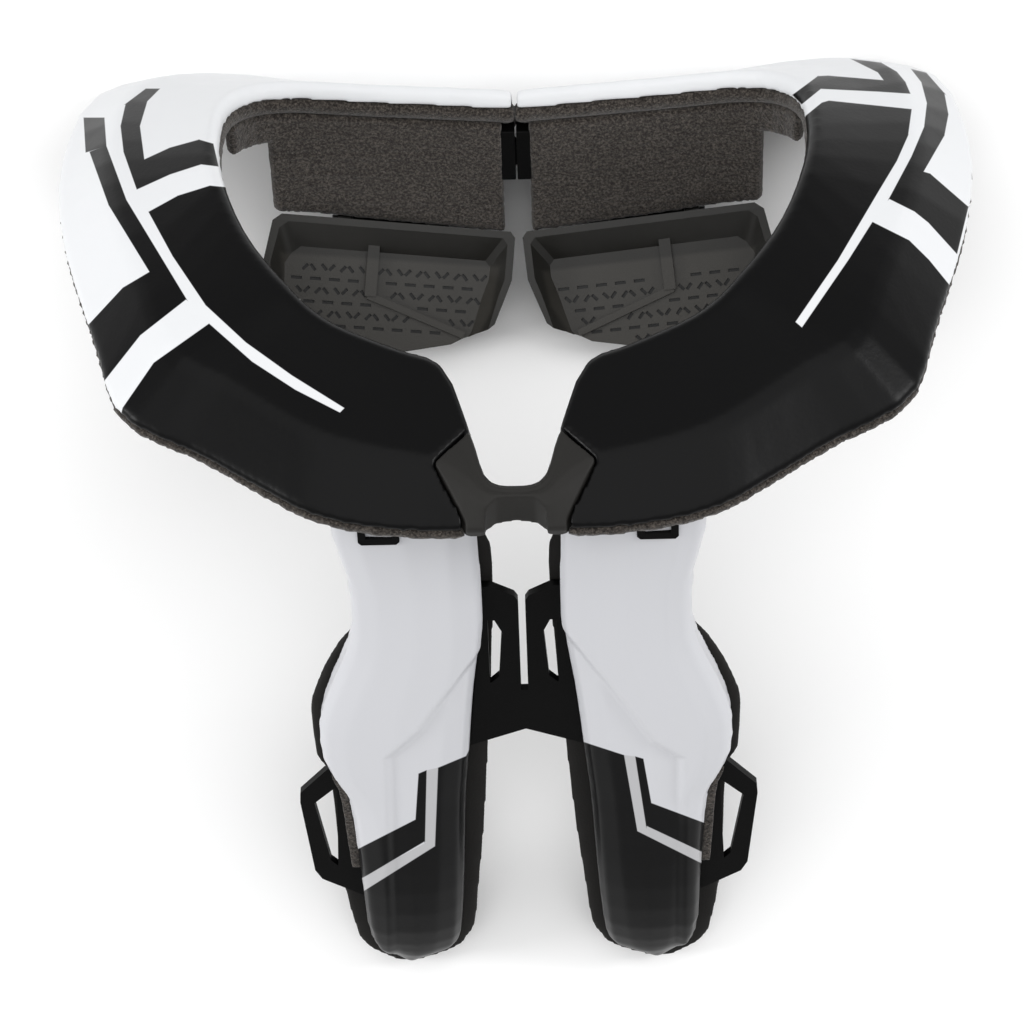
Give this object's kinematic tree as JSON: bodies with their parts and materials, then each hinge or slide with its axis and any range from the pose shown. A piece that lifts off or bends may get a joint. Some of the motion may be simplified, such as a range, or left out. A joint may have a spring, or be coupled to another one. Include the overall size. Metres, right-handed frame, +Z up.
{
  "type": "motocross neck brace",
  "caption": "Motocross neck brace: a wide split collar on felt-lined pads, with hinged chest pads in front and padded wings joined by a link down the back.",
  "frame": {"origin": "middle of the whole brace's box, on the surface that it rests on", "axes": "+X to the wearer's right, +Y towards the front of the collar, +Z up; the brace stands as a tent on the front edge of the collar and the tips of the back wings"},
  "size_m": [0.303, 0.3096, 0.1809],
  "materials": {
    "table_plastic": "satin black with white areas and stripes",
    "collar_felt": "speckled dark grey felt",
    "strut_plastic": "matte black",
    "front_felt": "speckled dark grey felt",
    "clasp_plastic": "satin black",
    "shell_plastic": "satin white with dark areas and grey stripes",
    "wing_foam": "matte dark moulded foam",
    "loop_plastic": "satin black",
    "loop_felt": "speckled grey felt",
    "clip_plastic": "satin black",
    "pin_metal": "dark steel",
    "chest_plastic": "satin dark grey with a moulded pattern",
    "bridge_rubber": "dark grey matte rubber",
    "link_plastic": "satin black"
  },
  "bodies": {
    "brace": {"collar_table_left": "table_plastic", "collar_table_right": "table_plastic", "collar_pad_left": "collar_felt", "collar_pad_right": "collar_felt", "front_strut_left": "strut_plastic", "front_strut_right": "strut_plastic", "front_felt_left": "front_felt", "front_felt_right": "front_felt", "clasp_left": "clasp_plastic", "clasp_right": "clasp_plastic", "wing_shell_left": "shell_plastic", "wing_shell_right": "shell_plastic", "wing_pad_left": "wing_foam", "wing_pad_right": "wing_foam", "strap_loop_left": "loop_plastic", "strap_loop_right": "loop_plastic", "loop_felt_left": "loop_felt", "loop_felt_right": "loop_felt", "wing_clip_left": "clip_plastic", "wing_clip_right": "clip_plastic", "hinge_pin_left": "pin_metal", "hinge_pin_right": "pin_metal", "nape_bridge": "bridge_rubber", "wing_link": "link_plastic"},
    "left_pad": {"chest_pad_left": "chest_plastic"},
    "right_pad": {"chest_pad_right": "chest_plastic"}
  },
  "joints": [
    {"name": "chest_pad_left_tilt", "type": "hinge", "parent": "brace", "child": "left_pad", "pos_m": [-0.0446, 0.10082, 0.01535], "axis": [0.9914, -0.0908, -0.0938], "range_deg": [0, 30]},
    {"name": "chest_pad_right_tilt", "type": "hinge", "parent": "brace", "child": "right_pad", "pos_m": [0.0446, 0.10082, 0.01535], "axis": [0.9914, 0.0908, 0.0938], "range_deg": [0, 30]}
  ]
}
